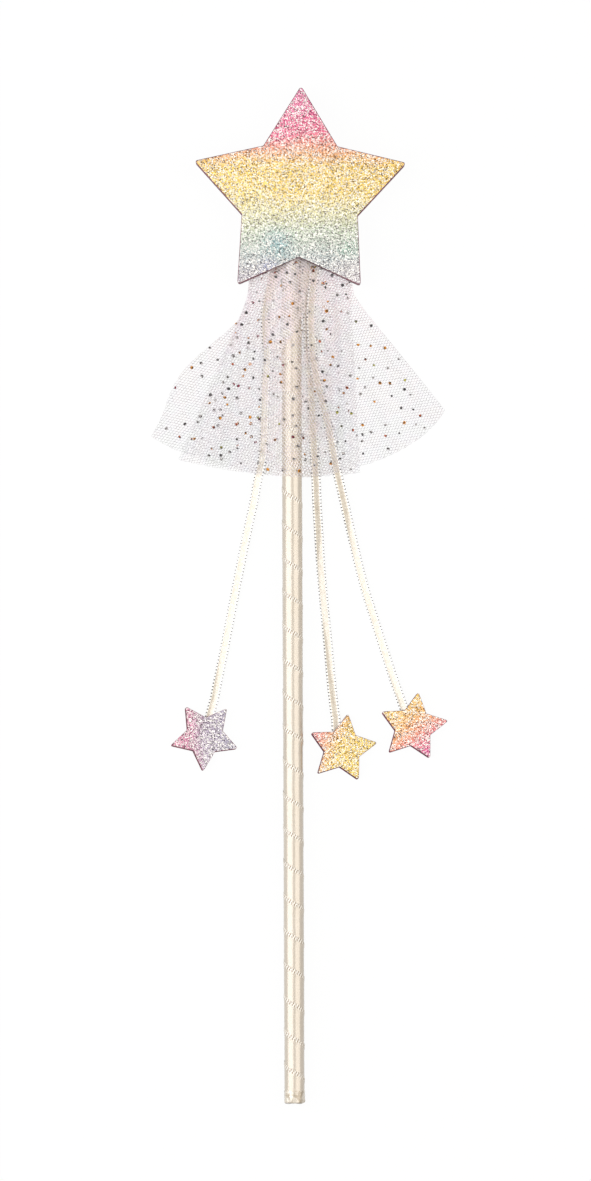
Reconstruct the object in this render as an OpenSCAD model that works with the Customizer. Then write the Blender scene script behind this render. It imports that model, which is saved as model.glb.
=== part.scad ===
// Toy magic wand, lying on its back: a satin-wrapped stick, a padded glitter star, a tulle skirt,
// and three ribbons that each carry a small star charm.
// +Y runs along the stick towards the star, +X is the right side and +Z is the front.
// The origin is on the stick's axis, where the wrapped handle starts above the foot.

/* [Stick] */
// Diameter of the wooden dowel
dowel_d = 6; // [4:0.5:8]
// Length of stick from the start of the handle to the star's notch
stick_len = 277.4; // [220:0.1:340]
// Length of dowel held inside the star
dowel_in = 30; // [15:1:38]

/* [Satin wrap] */
// Thickness of the overlapping ribbon on the handle
wrap_t = 0.35; // [0.3:0.05:0.6]
// Thickness of the single layer of ribbon under the skirt
wrap_start_t = 0.15; // [0.1:0.01:0.2]
// Climb of the ribbon along the stick in one turn
wrap_step = 11.3; // [8.5:0.1:14]
// Width of the raised lap along the ribbon's edge
lap_w = 1.2; // [0.6:0.1:2]
// Height of the raised lap
lap_h = 0.13; // [0.05:0.01:0.15]
// Angle round the stick at which the lap starts
lap_phase = -70; // [-180:5:180]

/* [Foot] */
// Length of the ribbon fold that covers the foot
fold_len = 4.6; // [3:0.1:8]
// Thickness of the fold under the end of the dowel
fold_t = 0.6; // [0.4:0.1:1]
// How far the fold stands out past the handle
fold_lip = 0.12; // [0.05:0.01:0.2]
// How much the fold narrows from its rim to its upper edge
fold_taper = 0.06; // [0.02:0.01:0.1]
// Rounding of the foot's rim
fold_round = 1; // [0.4:0.1:2]

/* [Star] */
// Radius to the star's points, before rounding
star_r = 36.6; // [30:0.1:44]
// Radius to the star's notches
star_notch_r = 20.5; // [17:0.1:24]
// Rounding of the star's points
star_round = 0.7; // [0.3:0.1:2]
// How much the star widens towards its top point and narrows towards its legs
star_taper = 0.055; // [0:0.005:0.1]
// Thickness of one foam panel
foam_t = 4.5; // [4.2:0.1:7]
// Thickness of one glitter sheet
glitter_t = 0.5; // [0.3:0.1:1]
// Offset of the star's middle to the right of the stick
star_shift = 3; // [-4:0.1:4]
// Turn of the star on the stick, clockwise
star_turn = 0.8; // [-4:0.1:4]

/* [Skirt] */
// Length of tulle from the star's notch to the hem
skirt_len = 73; // [50:1:90]
// Length of tulle held inside the star
skirt_tuck = 6; // [4:0.5:9]
// Width of the tulle where it leaves the star
skirt_neck_w = 34; // [28:0.5:35]
// Length from the notch to where the front layer starts to flare
front_flare_at = 12.5; // [10:0.5:25]
// Length from the notch to where the back layer starts to flare
back_flare_at = 17; // [10:0.5:25]
// Thickness of the tulle
tulle_t = 0.4; // [0.3:0.05:0.6]
// Flare of the front layer's left and right edge
front_flare = [0.44, 0.82]; // [0:0.01:1.2]
// How far the front hem rises at its left and right corner
front_rise = [6, 22.5]; // [0:0.5:30]
// Flare of the back layer's left and right edge
back_flare = [0.79, 0.05]; // [0:0.01:1.2]
// How far the back layer's left and right edge bow out between the flare and the hem
back_bow = [6, 0]; // [0:0.5:8]
// How far the back hem rises at its left and right corner
back_rise = [14, 1.5]; // [0:0.5:30]
// Folds across the front layer, with a band of net along each crest and valley
front_folds = 5; // [3:1:6]
// Height of the front folds at the hem
front_fold_h = 0.9; // [0.3:0.1:1.2]
// Folds across the back layer, with a band of net along each crest and valley
back_folds = 4; // [3:1:6]
// Height of the back folds at the hem
back_fold_h = 0.3; // [0.1:0.1:0.5]
// Rows of openings in the net, from the star's legs to the hem
net_rows = 7; // [4:1:8]
// Width of the bands between the net's openings
net_band = 1.2; // [0.8:0.1:2]

/* [Pendants] */
// Width of the narrow satin ribbon
ribbon_w = 3.2; // [2.4:0.1:4]
// Thickness of the narrow satin ribbon
ribbon_t = 0.3; // [0.2:0.05:0.4]
// Length of ribbon held inside the star
ribbon_tuck = 5.5; // [3:0.5:5.5]
// Radius to a charm's points, before rounding
charm_r = 11.8; // [10:0.1:12.5]
// Radius to a charm's notches
charm_notch_r = 6.2; // [5.5:0.1:7]
// Rounding of a charm's points
charm_round = 0.4; // [0.2:0.1:1]
// Thickness of one half of a charm
charm_t = 1.2; // [0.8:0.1:1.4]
// Length of ribbon held inside a charm
charm_grip = 5.5; // [3:0.5:7]

/* [Fits] */
// Gap left for glue
glue_gap = 0.05; // [0.02:0.01:0.1]
// Gap round soft pieces
ease = 0.3; // [0.2:0.05:0.4]
// Gap between two lengths of ribbon where they hinge
hinge_gap = 0.4; // [0.4:0.1:1]
// Distance of a ribbon's hinge from the hem
hem_room = 2.5; // [2:0.5:6]
// Distance of a charm's hinge from where its ribbon goes in
charm_room = 4.5; // [4:0.5:6]

/* [Hidden] */
$fn = 64;

left = 0;
middle = 1;
right = 2;
front = 1;
back = -1;

ivory = [0.93, 0.89, 0.80];
wood = [0.80, 0.66, 0.47];
wine = [0.36, 0.18, 0.22];
rainbow = [0.96, 0.86, 0.62];
net_white = [0.95, 0.94, 0.93];
charm_tint = [[0.80, 0.68, 0.76], [0.96, 0.80, 0.46], [0.96, 0.70, 0.60]];

dowel_r = dowel_d / 2;
dowel_bore_r = dowel_r + glue_gap;
wrap_r = dowel_r + wrap_t;
start_r = dowel_r + wrap_start_t;
hem_y = stick_len - skirt_len;
handle_len = hem_y - hem_room;
wrap_top = stick_len + skirt_tuck;
dowel_foot = fold_t + glue_gap - fold_len;
dowel_top = stick_len + dowel_in;
star_y = stick_len + star_notch_r;
star_leg_drop = star_r * cos(36) - star_notch_r;

// Each ribbon's route: right of the stick's axis, below the star's notch, and in front of the axis.
// The last point is where the ribbon goes into its charm, at or beside the charm's notch.
left_route = [
    [-5.5, -6, 0], [-5.5, 5, 0], [-7.5, 12, -0.3], [-8.8, 20, -0.8], [-8.2, 32, -1.3],
    [-8.9, 45, -1.8], [-9.6, 64, -2.4], [-11.5, 74, -2.6], [-13, 82, -2.9], [-15, 91, -3.4],
    [-18.7, 109, -3.8], [-22.6, 129, -3.8], [-25.3, 142, -3.3], [-26.3, 147, -2.9], [-27.9, 153, -2.9]
];
middle_route = [
    [5.2, -6, -0.35], [5.2, 5, -0.35], [5.2, 12, -0.6], [5.6, 27, -1.4], [6.4, 42, -2],
    [7.3, 62, -2.5], [8, 74, -2.6], [8.3, 82, -2.9], [8.8, 91, -3.4], [9.6, 105, -3.8],
    [11.5, 126, -3.8], [12.9, 142, -3.4], [13.9, 151, -2.9], [14.3, 154, -2.9], [14.6, 158, -2.9]
];
right_route = [
    [8, -6, 0.35], [7.7, 5, 0.35], [7, 12, 0.2], [6.6, 20, -0.1], [7.4, 35, -0.8],
    [10.2, 48, -1.8], [12.6, 58, -2.3], [14.8, 70, -2.6], [17.5, 82, -2.9], [20.4, 95, -3.5],
    [23.8, 109, -3.8], [29, 126, -3.8], [33.8, 141, -3.3], [35.2, 145, -2.9], [37.3, 151, -2.9]
];
routes = [left_route, middle_route, right_route];
// Clockwise turn of the notch that each charm hangs from
charm_turns = [3, -27, -28];
// How far right of that notch each ribbon goes in
charm_aside = [1.2, 0.9, 0];
ribbon_lift = 0.35;

lap_rings = 24;
lap_room = lap_w;
lap_turns = (handle_len - 2 * lap_room) / wrap_step;

// Points of a five-pointed star with rounded points, with its first point towards +Y
function star_points(r, notch_r, round_r) =
    let (
        tip = [0, r],
        notch = notch_r * [sin(36), cos(36)],
        half = atan2(notch[0], r - notch[1]),
        middle_of_round = [0, r - round_r / sin(half)],
        arc = [
            for (a = [half - 90 : (90 - half) / 3 : 90 - half + 0.01])
                middle_of_round + round_r * [sin(a), cos(a)]
        ]
    )
    [
        for (k = [0 : 4])
            each [for (p = concat(arc, [notch])) turned(p, 72 * k)]
    ];

function turned(p, a) = [p[0] * cos(a) + p[1] * sin(a), p[1] * cos(a) - p[0] * sin(a)];

// Faces of a tube through n rings of m points
function tube_faces(n, m) = concat(
    [for (i = [0 : n - 2], j = [0 : m - 1]) [i * m + j, i * m + (j + 1) % m, (i + 1) * m + j]],
    [
        for (i = [0 : n - 2], j = [0 : m - 1])
            [i * m + (j + 1) % m, (i + 1) * m + (j + 1) % m, (i + 1) * m + j]
    ],
    [for (j = [1 : m - 2]) [0, j + 1, j]],
    [for (j = [1 : m - 2]) (n - 1) * m * [1, 1, 1] + [0, j, j + 1]]
);

module tube(rings) {
    polyhedron([for (r = rings) each r], tube_faces(len(rings), len(rings[0])), convexity = 8);
}

// Height of the tulle's arch over the stick, between its crown and the level beside the stick
function arched(x, level, crown, spread) = level + (crown - level) * exp(-pow(x / spread, 2));

tuck_level = ribbon_lift + ribbon_t / 2 + ease + tulle_t / 2;
tuck_crown = start_r + ease + tulle_t / 2;
tuck_spread = 1.15 * start_r;

// Stretch of the skirt from the star's legs, at 0, to the hem, at 1
function below_star(drop) = max(0, min(1, (drop - star_leg_drop) / (skirt_len - star_leg_drop)));

front_hem_level = -1.5;
back_hem_level = -4.1;
hem_spread = 9;
flare_bend = 3;
no_bow = [0, 0];

// Half-width of a skirt layer on one side, at a drop below the notch
function skirt_half(drop, flare_at, flare) =
    let (past = drop - flare_at)
    skirt_neck_w / 2 + flare * (past + sqrt(past * past + flare_bend * flare_bend)) / 2;

// Share of an edge's bow at a drop, between the start of the flare and the hem's corner
function bowed(drop, flare_at, corner) =
    pow(sin(180 * max(0, min(1, (drop - flare_at) / (corner - flare_at)))), 2);

// Where a band of the net starts beside its line, so that the outer bands stay inside the layer
function band_from(k, last) = k == 0 ? 0 : k == last ? -net_band : -net_band / 2;

// Both edges of a band: the place of its line, the distance from that line, and whether the band
// starts there
function band_edges(place, k, last) = [
    [place, band_from(k, last), true],
    [place, band_from(k, last) + net_band, false]
];

function near_stick(across) = abs(star_shift + across * skirt_neck_w / 2) < 2 * start_r;

// Edges of the bands that run down a layer, from -1 to 1, and a line down the middle of each opening
// that lies over the stick
function net_columns(folds) = [
    for (k = [0 : 2 * folds])
        let (place = k / folds - 1, next = place + 0.5 / folds)
        each concat(
            band_edges(place, k, 2 * folds),
            k < 2 * folds && near_stick(next) ? [[next, 0, false]] : []
        )
];

// Edges of the bands that run across a layer: -1 is the tuck, 0 the star's legs and 1 the hem
net_lines = concat(
    [[-1, 0, true]],
    [for (k = [0 : net_rows]) each band_edges(k / net_rows, k, net_rows)]
);
net_top = star_leg_drop + net_band;

// A point of a skirt layer, where a line down the layer meets a line across it
function skirt_point(column, line, flare_at, flare, bow, rise, folds, fold_h, side) =
    let (
        across = column[0],
        s = across < 0 ? 0 : 1,
        hem = skirt_len - rise[s] * pow(abs(across), 1.6),
        drop = net_top + line[0] * (line[0] < 0 ? net_top + skirt_tuck : hem - net_top) + line[1],
        half = skirt_half(drop, flare_at, flare[s]) + bow[s] * bowed(drop, flare_at, skirt_len - rise[s]),
        x = star_shift + across * half + column[1],
        share = below_star(drop),
        fold = fold_h * share * cos(180 * folds * across),
        level = side == front
            ? tuck_level + (front_hem_level - tuck_level) * share
            : -tuck_level + (back_hem_level + tuck_level) * pow(share, 0.8),
        crown = side == front ? tuck_crown : min(level, -tuck_crown),
        spread = tuck_spread + (hem_spread - tuck_spread) * share
    )
    [x, stick_len - drop, arched(x, level + fold, crown, spread)];

// Whether the net has cloth between two neighbouring lines each way
function net_cloth(columns, i, j) =
    i >= 0 && j >= 0 && i < len(columns) - 1 && j < len(net_lines) - 1
    && (columns[i][2] || net_lines[j][2]);

// Both triangles of the cloth's edge from one point to the next, given the count of points on its front
function cloth_edge(a, b, under) = [[a, b, a + under], [b, b + under, a + under]];

// A layer of tulle with its main folds and a plain grid of openings
module skirt_layer(flare_at, flare, bow, rise, folds, fold_h, side) {
    columns = net_columns(folds);
    middle_points = [
        for (column = columns, line = net_lines)
            skirt_point(column, line, flare_at, flare, bow, rise, folds, fold_h, side)
    ];
    points = concat(
        [for (p = middle_points) p + [0, 0, tulle_t / 2]],
        [for (p = middle_points) p - [0, 0, tulle_t / 2]]
    );
    under = len(middle_points);
    lines = len(net_lines);
    faces = [
        for (i = [0 : len(columns) - 2], j = [0 : lines - 2])
            if (net_cloth(columns, i, j))
                let (a = i * lines + j, b = a + 1, c = a + lines + 1, d = a + lines)
                each concat(
                    [[a, d, b], [b, d, c]],
                    [under * [1, 1, 1] + [a, b, d], under * [1, 1, 1] + [b, c, d]],
                    net_cloth(columns, i - 1, j) ? [] : cloth_edge(a, b, under),
                    net_cloth(columns, i, j + 1) ? [] : cloth_edge(b, c, under),
                    net_cloth(columns, i + 1, j) ? [] : cloth_edge(c, d, under),
                    net_cloth(columns, i, j - 1) ? [] : cloth_edge(d, a, under)
                )
    ];
    polyhedron(points, faces, convexity = 10);
}

// A ribbon's place at a drop below the notch
function route_point(route, drop) = [
    lookup(drop, [for (p = route) [p[1], p[0]]]),
    drop,
    lookup(drop, [for (p = route) [p[1], p[2]]])
];

// The route's points between two drops, both ends included
function route_between(route, from, to) = concat(
    [route_point(route, from)],
    [for (p = route) if (p[1] > from + 1 && p[1] < to - 1) p],
    [route_point(route, to)]
);

function slant(route, drop) =
    (route_point(route, drop + 1)[0] - route_point(route, drop - 1)[0]) / 2;

// Corners of the ribbon's flat section, as shares of its half-width and its thickness
ribbon_section = [
    [1, 0.2], [1, -0.2], [0.94, -0.5], [-0.94, -0.5],
    [-1, -0.2], [-1, 0.2], [-0.94, 0.5], [0.94, 0.5]
];

function ribbon_half(route, drop, extra = 0) =
    (ribbon_w / 2 + extra) * sqrt(1 + pow(slant(route, drop), 2));

module ribbon(route, from, to) {
    color(ivory)
        tube([
            for (p = route_between(route, from, to))
                [
                    for (c = ribbon_section)
                        [
                            p[0] + c[0] * ribbon_half(route, p[1]),
                            stick_len - p[1],
                            p[2] + c[1] * ribbon_t
                        ]
                ]
        ]);
}

function charm_mouth(i) = routes[i][len(routes[i]) - 1];
function charm_inward(i) = [-sin(charm_turns[i]), cos(charm_turns[i]), 0];
function charm_middle(i) = charm_mouth(i) - [charm_aside[i], 0, 0] + charm_notch_r * charm_inward(i);
function charm_hinge(i) = charm_mouth(i)[1] - charm_room;
function whole_route(i) = concat(routes[i], [charm_mouth(i) + charm_grip * charm_inward(i)]);
function grip_end(i) = whole_route(i)[len(whole_route(i)) - 1][1];

// The wooden stick
module dowel() {
    color(wood)
        translate([0, dowel_foot, 0])
            rotate([-90, 0, 0])
                cylinder(r = dowel_r, h = dowel_top - dowel_foot);
}

// The wound ribbon: overlapping turns on the handle, and a single layer under the skirt
module satin_wrap() {
    color(ivory)
        rotate([-90, 0, 0])
            rotate_extrude()
                polygon([
                    [dowel_bore_r, 0], [wrap_r, 0], [wrap_r, handle_len],
                    [start_r, handle_len], [start_r, wrap_top], [dowel_bore_r, wrap_top]
                ]);
}

// Corners of the lap's section: along the stick, and out from the handle
lap_section = [
    [-lap_w / 2, 0], [-0.4 * lap_w, 0.7 * lap_h], [-lap_w / 4, lap_h],
    [lap_w / 4, lap_h], [0.4 * lap_w, 0.7 * lap_h], [lap_w / 2, 0]
];
lap_r = (wrap_r + glue_gap / 5) / cos(180 / lap_rings);

// One ring of the lap, a number of rings down from the top of the handle
function lap_ring(n) =
    let (
        a = lap_phase + 360 * n / lap_rings,
        y = handle_len - lap_room - wrap_step * n / lap_rings
    )
    [
        for (c = lap_section)
            [(lap_r + c[1]) * sin(a), y + c[0], (lap_r + c[1]) * cos(a)]
    ];

// The raised edge of the wound ribbon, as one unbroken helix down the handle
module wrap_lap() {
    color(ivory)
        tube([for (n = [0 : floor(lap_turns * lap_rings)]) lap_ring(n)]);
}

lap_gap = min([
    for (n = [0 : lap_rings - 1], k = [lap_rings / 2 : 3 * lap_rings / 2])
        let (near = lap_ring(n), far = lap_ring(n + k))
        each [for (p = near, q = far) norm(p - q)]
]);
echo(lap_turns = lap_turns, least_gap_of_the_lap_to_itself = lap_gap);

// The ribbon's end, folded over the foot of the stick
module foot_fold() {
    fold_r = wrap_r + fold_lip;
    color(ivory)
        rotate([-90, 0, 0])
            rotate_extrude()
                polygon(concat(
                    [[0, -fold_len]],
                    [
                        for (a = [0 : 15 : 90])
                            [
                                fold_r - fold_round * (1 - sin(a)),
                                fold_round * (1 - cos(a)) - fold_len
                            ]
                    ],
                    [
                        [fold_r - fold_taper, -glue_gap], [dowel_bore_r, -glue_gap],
                        [dowel_bore_r, fold_t - fold_len], [0, fold_t - fold_len]
                    ]
                ));
}

module star_plate(thick, z) {
    translate([star_shift, star_y, z])
        rotate(-star_turn)
            linear_extrude(thick)
                polygon([
                    for (p = star_points(star_r, star_notch_r, star_round))
                        [p[0] * (1 + star_taper * p[1] / star_r), p[1]]
                ]);
}

// Room between the foam panels for the tulle and the ribbons
module star_pocket(side) {
    flare_at = min(front_flare_at, back_flare_at);
    half = skirt_half(star_leg_drop, flare_at, max(concat(front_flare, back_flare))) + ease;
    steps = 40;
    top = stick_len + skirt_tuck + ease;
    mirror([0, 0, side == front ? 0 : 1])
        translate([0, top, 0])
            rotate([90, 0, 0])
                linear_extrude(star_r)
                    polygon(concat(
                        [[star_shift - half, -1]],
                        [
                            for (k = [0 : steps])
                                let (x = star_shift + half * (2 * k / steps - 1))
                                [x, arched(x, tuck_level, tuck_crown, tuck_spread) + tulle_t / 2 + ease]
                        ],
                        [[star_shift + half, -1]]
                    ));
}

// One foam panel of the star, with its half of the dowel's channel
module star_foam(side) {
    color(wine)
        difference() {
            star_plate(foam_t, side == front ? 0 : -foam_t);
            translate([0, stick_len - star_notch_r, 0])
                rotate([-90, 0, 0])
                    cylinder(r = dowel_bore_r, h = dowel_top + glue_gap - stick_len + star_notch_r);
            star_pocket(side);
        }
}

// One glitter sheet on the outside of the star
module star_glitter(side) {
    color(rainbow)
        star_plate(glitter_t, side == front ? foam_t : -foam_t - glitter_t);
}

module skirt_front() {
    color(net_white)
        skirt_layer(front_flare_at, front_flare, no_bow, front_rise, front_folds, front_fold_h, front);
}

module skirt_back() {
    color(net_white)
        skirt_layer(back_flare_at, back_flare, back_bow, back_rise, back_folds, back_fold_h, back);
}

hem_hinge = skirt_len + hem_room;

// Length of ribbon that the star and the skirt hold
module ribbon_top(i) {
    ribbon(whole_route(i), -ribbon_tuck, hem_hinge - hinge_gap / 2);
}

// Length of ribbon that swings below the hem
module ribbon_tail(i) {
    ribbon(whole_route(i), hem_hinge + hinge_gap / 2, charm_hinge(i) - hinge_gap / 2);
}

// End of the ribbon that the charm holds
module ribbon_tip(i) {
    ribbon(whole_route(i), charm_hinge(i) + hinge_gap / 2, grip_end(i));
}

// Recess in both halves of a charm for the end of its ribbon
module charm_recess(i) {
    route = whole_route(i);
    held = route_between(route, charm_hinge(i), grip_end(i) + glue_gap);
    thick = ribbon_t + 2 * glue_gap;
    translate([0, stick_len, charm_middle(i)[2] - thick / 2])
        linear_extrude(thick)
            polygon(concat(
                [for (p = held) [p[0] + ribbon_half(route, p[1], ease), -p[1]]],
                [
                    for (k = [len(held) - 1 : -1 : 0])
                        let (p = held[k])
                        [p[0] - ribbon_half(route, p[1], ease), -p[1]]
                ]
            ));
}

// One half of a small star charm
module charm_half(i, side) {
    at = charm_middle(i);
    color(charm_tint[i])
        difference() {
            translate([at[0], stick_len - at[1], side == front ? at[2] : at[2] - charm_t])
                rotate(-charm_turns[i] - 36)
                    linear_extrude(charm_t)
                        polygon(star_points(charm_r, charm_notch_r, charm_round));
            charm_recess(i);
        }
}

dowel();
satin_wrap();
wrap_lap();
foot_fold();
star_foam(front);  // star_front_foam
star_foam(back);  // star_back_foam
star_glitter(front);  // star_front_glitter
star_glitter(back);  // star_back_glitter
skirt_front();
skirt_back();
ribbon_top(left);  // left_ribbon_top
ribbon_top(middle);  // middle_ribbon_top
ribbon_top(right);  // right_ribbon_top
ribbon_tail(left);  // left_ribbon_tail
ribbon_tail(middle);  // middle_ribbon_tail
ribbon_tail(right);  // right_ribbon_tail
ribbon_tip(left);  // left_ribbon_tip
ribbon_tip(middle);  // middle_ribbon_tip
ribbon_tip(right);  // right_ribbon_tip
charm_half(left, front);  // left_charm_front
charm_half(middle, front);  // middle_charm_front
charm_half(right, front);  // right_charm_front
charm_half(left, back);  // left_charm_back
charm_half(middle, back);  // middle_charm_back
charm_half(right, back);  // right_charm_back
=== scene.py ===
import random
from math import atan, atan2, ceil, cos, degrees, exp, floor, hypot, pi, radians, sin, sqrt, tan

import bpy
import numpy as np
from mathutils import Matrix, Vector


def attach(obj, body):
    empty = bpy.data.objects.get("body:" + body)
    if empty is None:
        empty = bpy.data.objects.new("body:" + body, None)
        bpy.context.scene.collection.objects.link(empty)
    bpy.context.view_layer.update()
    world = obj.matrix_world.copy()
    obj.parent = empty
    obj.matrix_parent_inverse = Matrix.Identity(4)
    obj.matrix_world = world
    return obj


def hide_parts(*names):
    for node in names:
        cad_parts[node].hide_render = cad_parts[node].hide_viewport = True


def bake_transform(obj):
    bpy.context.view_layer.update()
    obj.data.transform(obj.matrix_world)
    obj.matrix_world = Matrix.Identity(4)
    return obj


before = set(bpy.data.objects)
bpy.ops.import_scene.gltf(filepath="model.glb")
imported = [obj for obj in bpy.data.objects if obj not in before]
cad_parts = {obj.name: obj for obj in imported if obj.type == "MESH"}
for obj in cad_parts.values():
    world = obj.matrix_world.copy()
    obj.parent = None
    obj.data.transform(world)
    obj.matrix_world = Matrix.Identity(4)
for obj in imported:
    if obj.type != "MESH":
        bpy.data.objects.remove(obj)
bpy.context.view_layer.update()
addToScene = bpy.context.scene.collection.objects.link
mm = 0.001
notchY = 0.2774  # the star's lower notch, where the skirt and the ribbons come out
fullTurn = 2 * pi
ribbonSides = ("left", "middle", "right")
starFaces = (("front", 1), ("back", -1))
print("frame loaded:", len(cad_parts), "nodes")


# helpers for pieces

def enterMode(mode):
    bpy.ops.object.mode_set(mode=mode)


def pickOnly(obj):
    if bpy.context.object and bpy.context.object.mode != "OBJECT":
        enterMode("OBJECT")
    bpy.ops.object.select_all(action="DESELECT")
    obj.select_set(True)
    bpy.context.view_layer.objects.active = obj


def newPiece(name, points, faces, *finishes):
    mesh = bpy.data.meshes.new(name)
    mesh.from_pydata([tuple(p) for p in points], [], faces)
    mesh.update()
    for finish in finishes:
        mesh.materials.append(finish)
    obj = bpy.data.objects.new(name, mesh)
    addToScene(obj)
    return obj


def editWhole(obj, *steps):
    # mesh operators, each with its settings, on the whole of a piece
    pickOnly(obj)
    enterMode("EDIT")
    bpy.ops.mesh.select_all(action="SELECT")
    for step, settings in steps:
        step(**settings)
    enterMode("OBJECT")


def applyModifier(obj, kind, **settings):
    pickOnly(obj)
    modifier = obj.modifiers.new(kind.title(), kind)
    for key, value in settings.items():
        setattr(modifier, key, value)
    bpy.ops.object.modifier_apply(modifier=modifier.name)


def smoothByAngle(obj, limit):
    pickOnly(obj)
    bpy.ops.object.shade_smooth_by_angle(angle=radians(limit))


def gridFaces(rings, across, closed=False):
    faces = []
    for i in range(rings - 1):
        for j in range(across if closed else across - 1):
            k = (j + 1) % across
            faces.append((i * across + j, i * across + k, (i + 1) * across + k, (i + 1) * across + j))
    return faces


def writeUv(obj, name, perVertex):
    layer = obj.data.uv_layers.new(name=name)
    loops = np.zeros(len(obj.data.loops), np.int32)
    obj.data.loops.foreach_get("vertex_index", loops)
    layer.uv.foreach_set("vector", np.asarray(perVertex, np.float32)[loops].ravel())


def dress(piece, body, slot, *nodes):
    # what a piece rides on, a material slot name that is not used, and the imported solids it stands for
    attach(piece, body)
    if nodes:
        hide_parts(*nodes)


def clamped(value, low=0.0, high=1.0):
    return min(high, max(low, value))


def turned(u, v, angle):
    return u * cos(angle) - v * sin(angle), u * sin(angle) + v * cos(angle)


# helpers for finishes

def srgb(red, green, blue):
    def straight(value):
        value = value / 255
        return value / 12.92 if value <= 0.04045 else ((value + 0.055) / 1.055) ** 2.4
    return (straight(red), straight(green), straight(blue), 1.0)


def feed(tree, socket, value):
    if isinstance(value, bpy.types.NodeSocket):
        tree.links.new(value, socket)
    else:
        socket.default_value = value


def addNode(tree, kind, settings=None, **inputs):
    # inputs by name, or by place as i0, i1 and so on
    node = tree.nodes.new("ShaderNode" + kind)
    for key, value in (settings or {}).items():
        setattr(node, key, value)
    for key, value in inputs.items():
        byPlace = key[0] == "i" and key[1:].isdigit()
        feed(tree, node.inputs[int(key[1:]) if byPlace else key], value)
    return node


def objectPlace(tree):
    return addNode(tree, "TexCoord").outputs["Object"]


def mathNode(tree, operation, first, second=0.0, clamp=False):
    return addNode(tree, "Math", {"operation": operation, "use_clamp": clamp}, i0=first, i1=second).outputs[0]


def times(tree, first, second):
    return mathNode(tree, "MULTIPLY", first, second)


def mixSurfaces(tree, factor, first, second):
    mixed = addNode(tree, "MixShader", i0=factor, i1=first, i2=second).outputs[0]
    feed(tree, tree.nodes["Material Output"].inputs["Surface"], mixed)


def vectorNode(tree, operation, first, second=(0, 0, 0), **more):
    node = addNode(tree, "VectorMath", {"operation": operation}, i0=first, i1=second, **more)
    return node.outputs["Value" if operation in ("DOT_PRODUCT", "DISTANCE") else "Vector"]


def noiseNode(tree, place, scale, detail):
    return addNode(tree, "TexNoise", Vector=place, Scale=scale, Detail=detail).outputs["Fac"]


def rangeNode(tree, value, low, high, toLow=0.0, toHigh=1.0, kind="SMOOTHSTEP"):
    return addNode(tree, "MapRange", {"interpolation_type": kind}, Value=value,
                   i1=low, i2=high, i3=toLow, i4=toHigh).outputs[0]


def mixColour(tree, factor, first, second, blend="MIX"):
    settings = {"data_type": "RGBA", "blend_type": blend}
    return addNode(tree, "Mix", settings, i0=factor, i6=first, i7=second).outputs[2]


def rampNode(tree, factor, stops):
    # each stop: its place, then red, green and blue
    node = addNode(tree, "ValToRGB", Fac=factor)
    while len(node.color_ramp.elements) < len(stops):
        node.color_ramp.elements.new(0.5)
    for element, (place, *colour) in zip(node.color_ramp.elements, stops):
        element.position = place
        element.color = srgb(*colour)
    return node.outputs[0]


def bumpNode(tree, height, strength, depth):
    return addNode(tree, "Bump", Strength=strength, Distance=depth, Height=height).outputs[0]


def paint(tree, shader, colour, **others):
    feed(tree, shader.inputs["Base Color"], colour)
    for key, value in others.items():
        feed(tree, shader.inputs[key], value)


def newFinish(name, roughness, **sockets):
    finish = bpy.data.materials.new(name)
    finish.use_nodes = True
    tree = finish.node_tree
    shader = tree.nodes["Principled BSDF"]
    shader.inputs["Roughness"].default_value = roughness
    for key, value in sockets.items():
        shader.inputs[key.replace("_", " ")].default_value = value
    return finish, tree, shader


# camera, at the photograph's place: straight above the wand
cameraPlan = {"aim": (0.0010, 0.1666), "height": 2.4, "frameTall": 0.3937, "sensor": 36.0, "lean": -0.23}
cameraData = bpy.data.cameras.new("camera")
cameraData.sensor_width = cameraPlan["sensor"]
cameraData.lens = cameraPlan["sensor"] * cameraPlan["height"] / cameraPlan["frameTall"]
camera = bpy.data.objects.new("camera", cameraData)
camera.location = (*cameraPlan["aim"], cameraPlan["height"])
camera.rotation_euler = (0, 0, radians(cameraPlan["lean"]))
addToScene(camera)
bpy.context.scene.camera = camera
print("camera placed")


# satin, for the wound ribbon and the narrow ribbons
wrapLook = {
    "uv": "windUv", "body": srgb(206, 195, 181), "shade": srgb(198, 185, 166), "hem": None,
    "edge": srgb(242, 238, 228), "gap": srgb(128, 108, 88), "gapBelow": -0.1,
    "selvage": 0.115, "rows": 2, "oneSided": True, "ribs": 70,
    "metal": 0.16, "rough": 0.24, "coat": 0.6, "cloud": (90.0, 0.0, 1.0),
}
satinPlan = {
    "wrap": wrapLook,
    "edge": {
        **wrapLook, "edge": srgb(250, 245, 236), "gap": srgb(156, 134, 108),
        "metal": 0.0, "rough": 0.5, "coat": 0.3,
    },
    "foot": {
        # the foot's shade colour, in fine streaks, is painted shade for its crumples
        **wrapLook, "body": srgb(224, 214, 198), "shade": srgb(158, 141, 114), "gap": srgb(126, 108, 84),
        # the hem colour is painted shade, darker towards the foot's end
        "hem": srgb(122, 112, 104), "rough": 0.22, "cloud": (520.0, 0.40, 0.58),
    },
    "ribbon": {
        **wrapLook, "uv": "ribbonUv", "body": srgb(208, 198, 181), "shade": srgb(196, 183, 163),
        "edge": srgb(248, 247, 244), "gap": srgb(56, 53, 50), "gapBelow": -0.25,
        "selvage": 0.2, "rows": 1, "oneSided": False, "ribs": 22,
        "metal": 0.1, "rough": 0.3, "coat": 0.9, "cloud": (900.0, 0.42, 0.58),
    },
    "gloss": {"Anisotropic": 0.3, "Sheen_Weight": 0.1, "Coat_Roughness": 0.17, "Coat_IOR": 2.0},
    "cloudDetail": 3.0, "endShadeAt": (0.72, 0.8), "knotHeight": 3.0, "bump": 0.5, "ribDepth": 0.000007,
}


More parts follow.
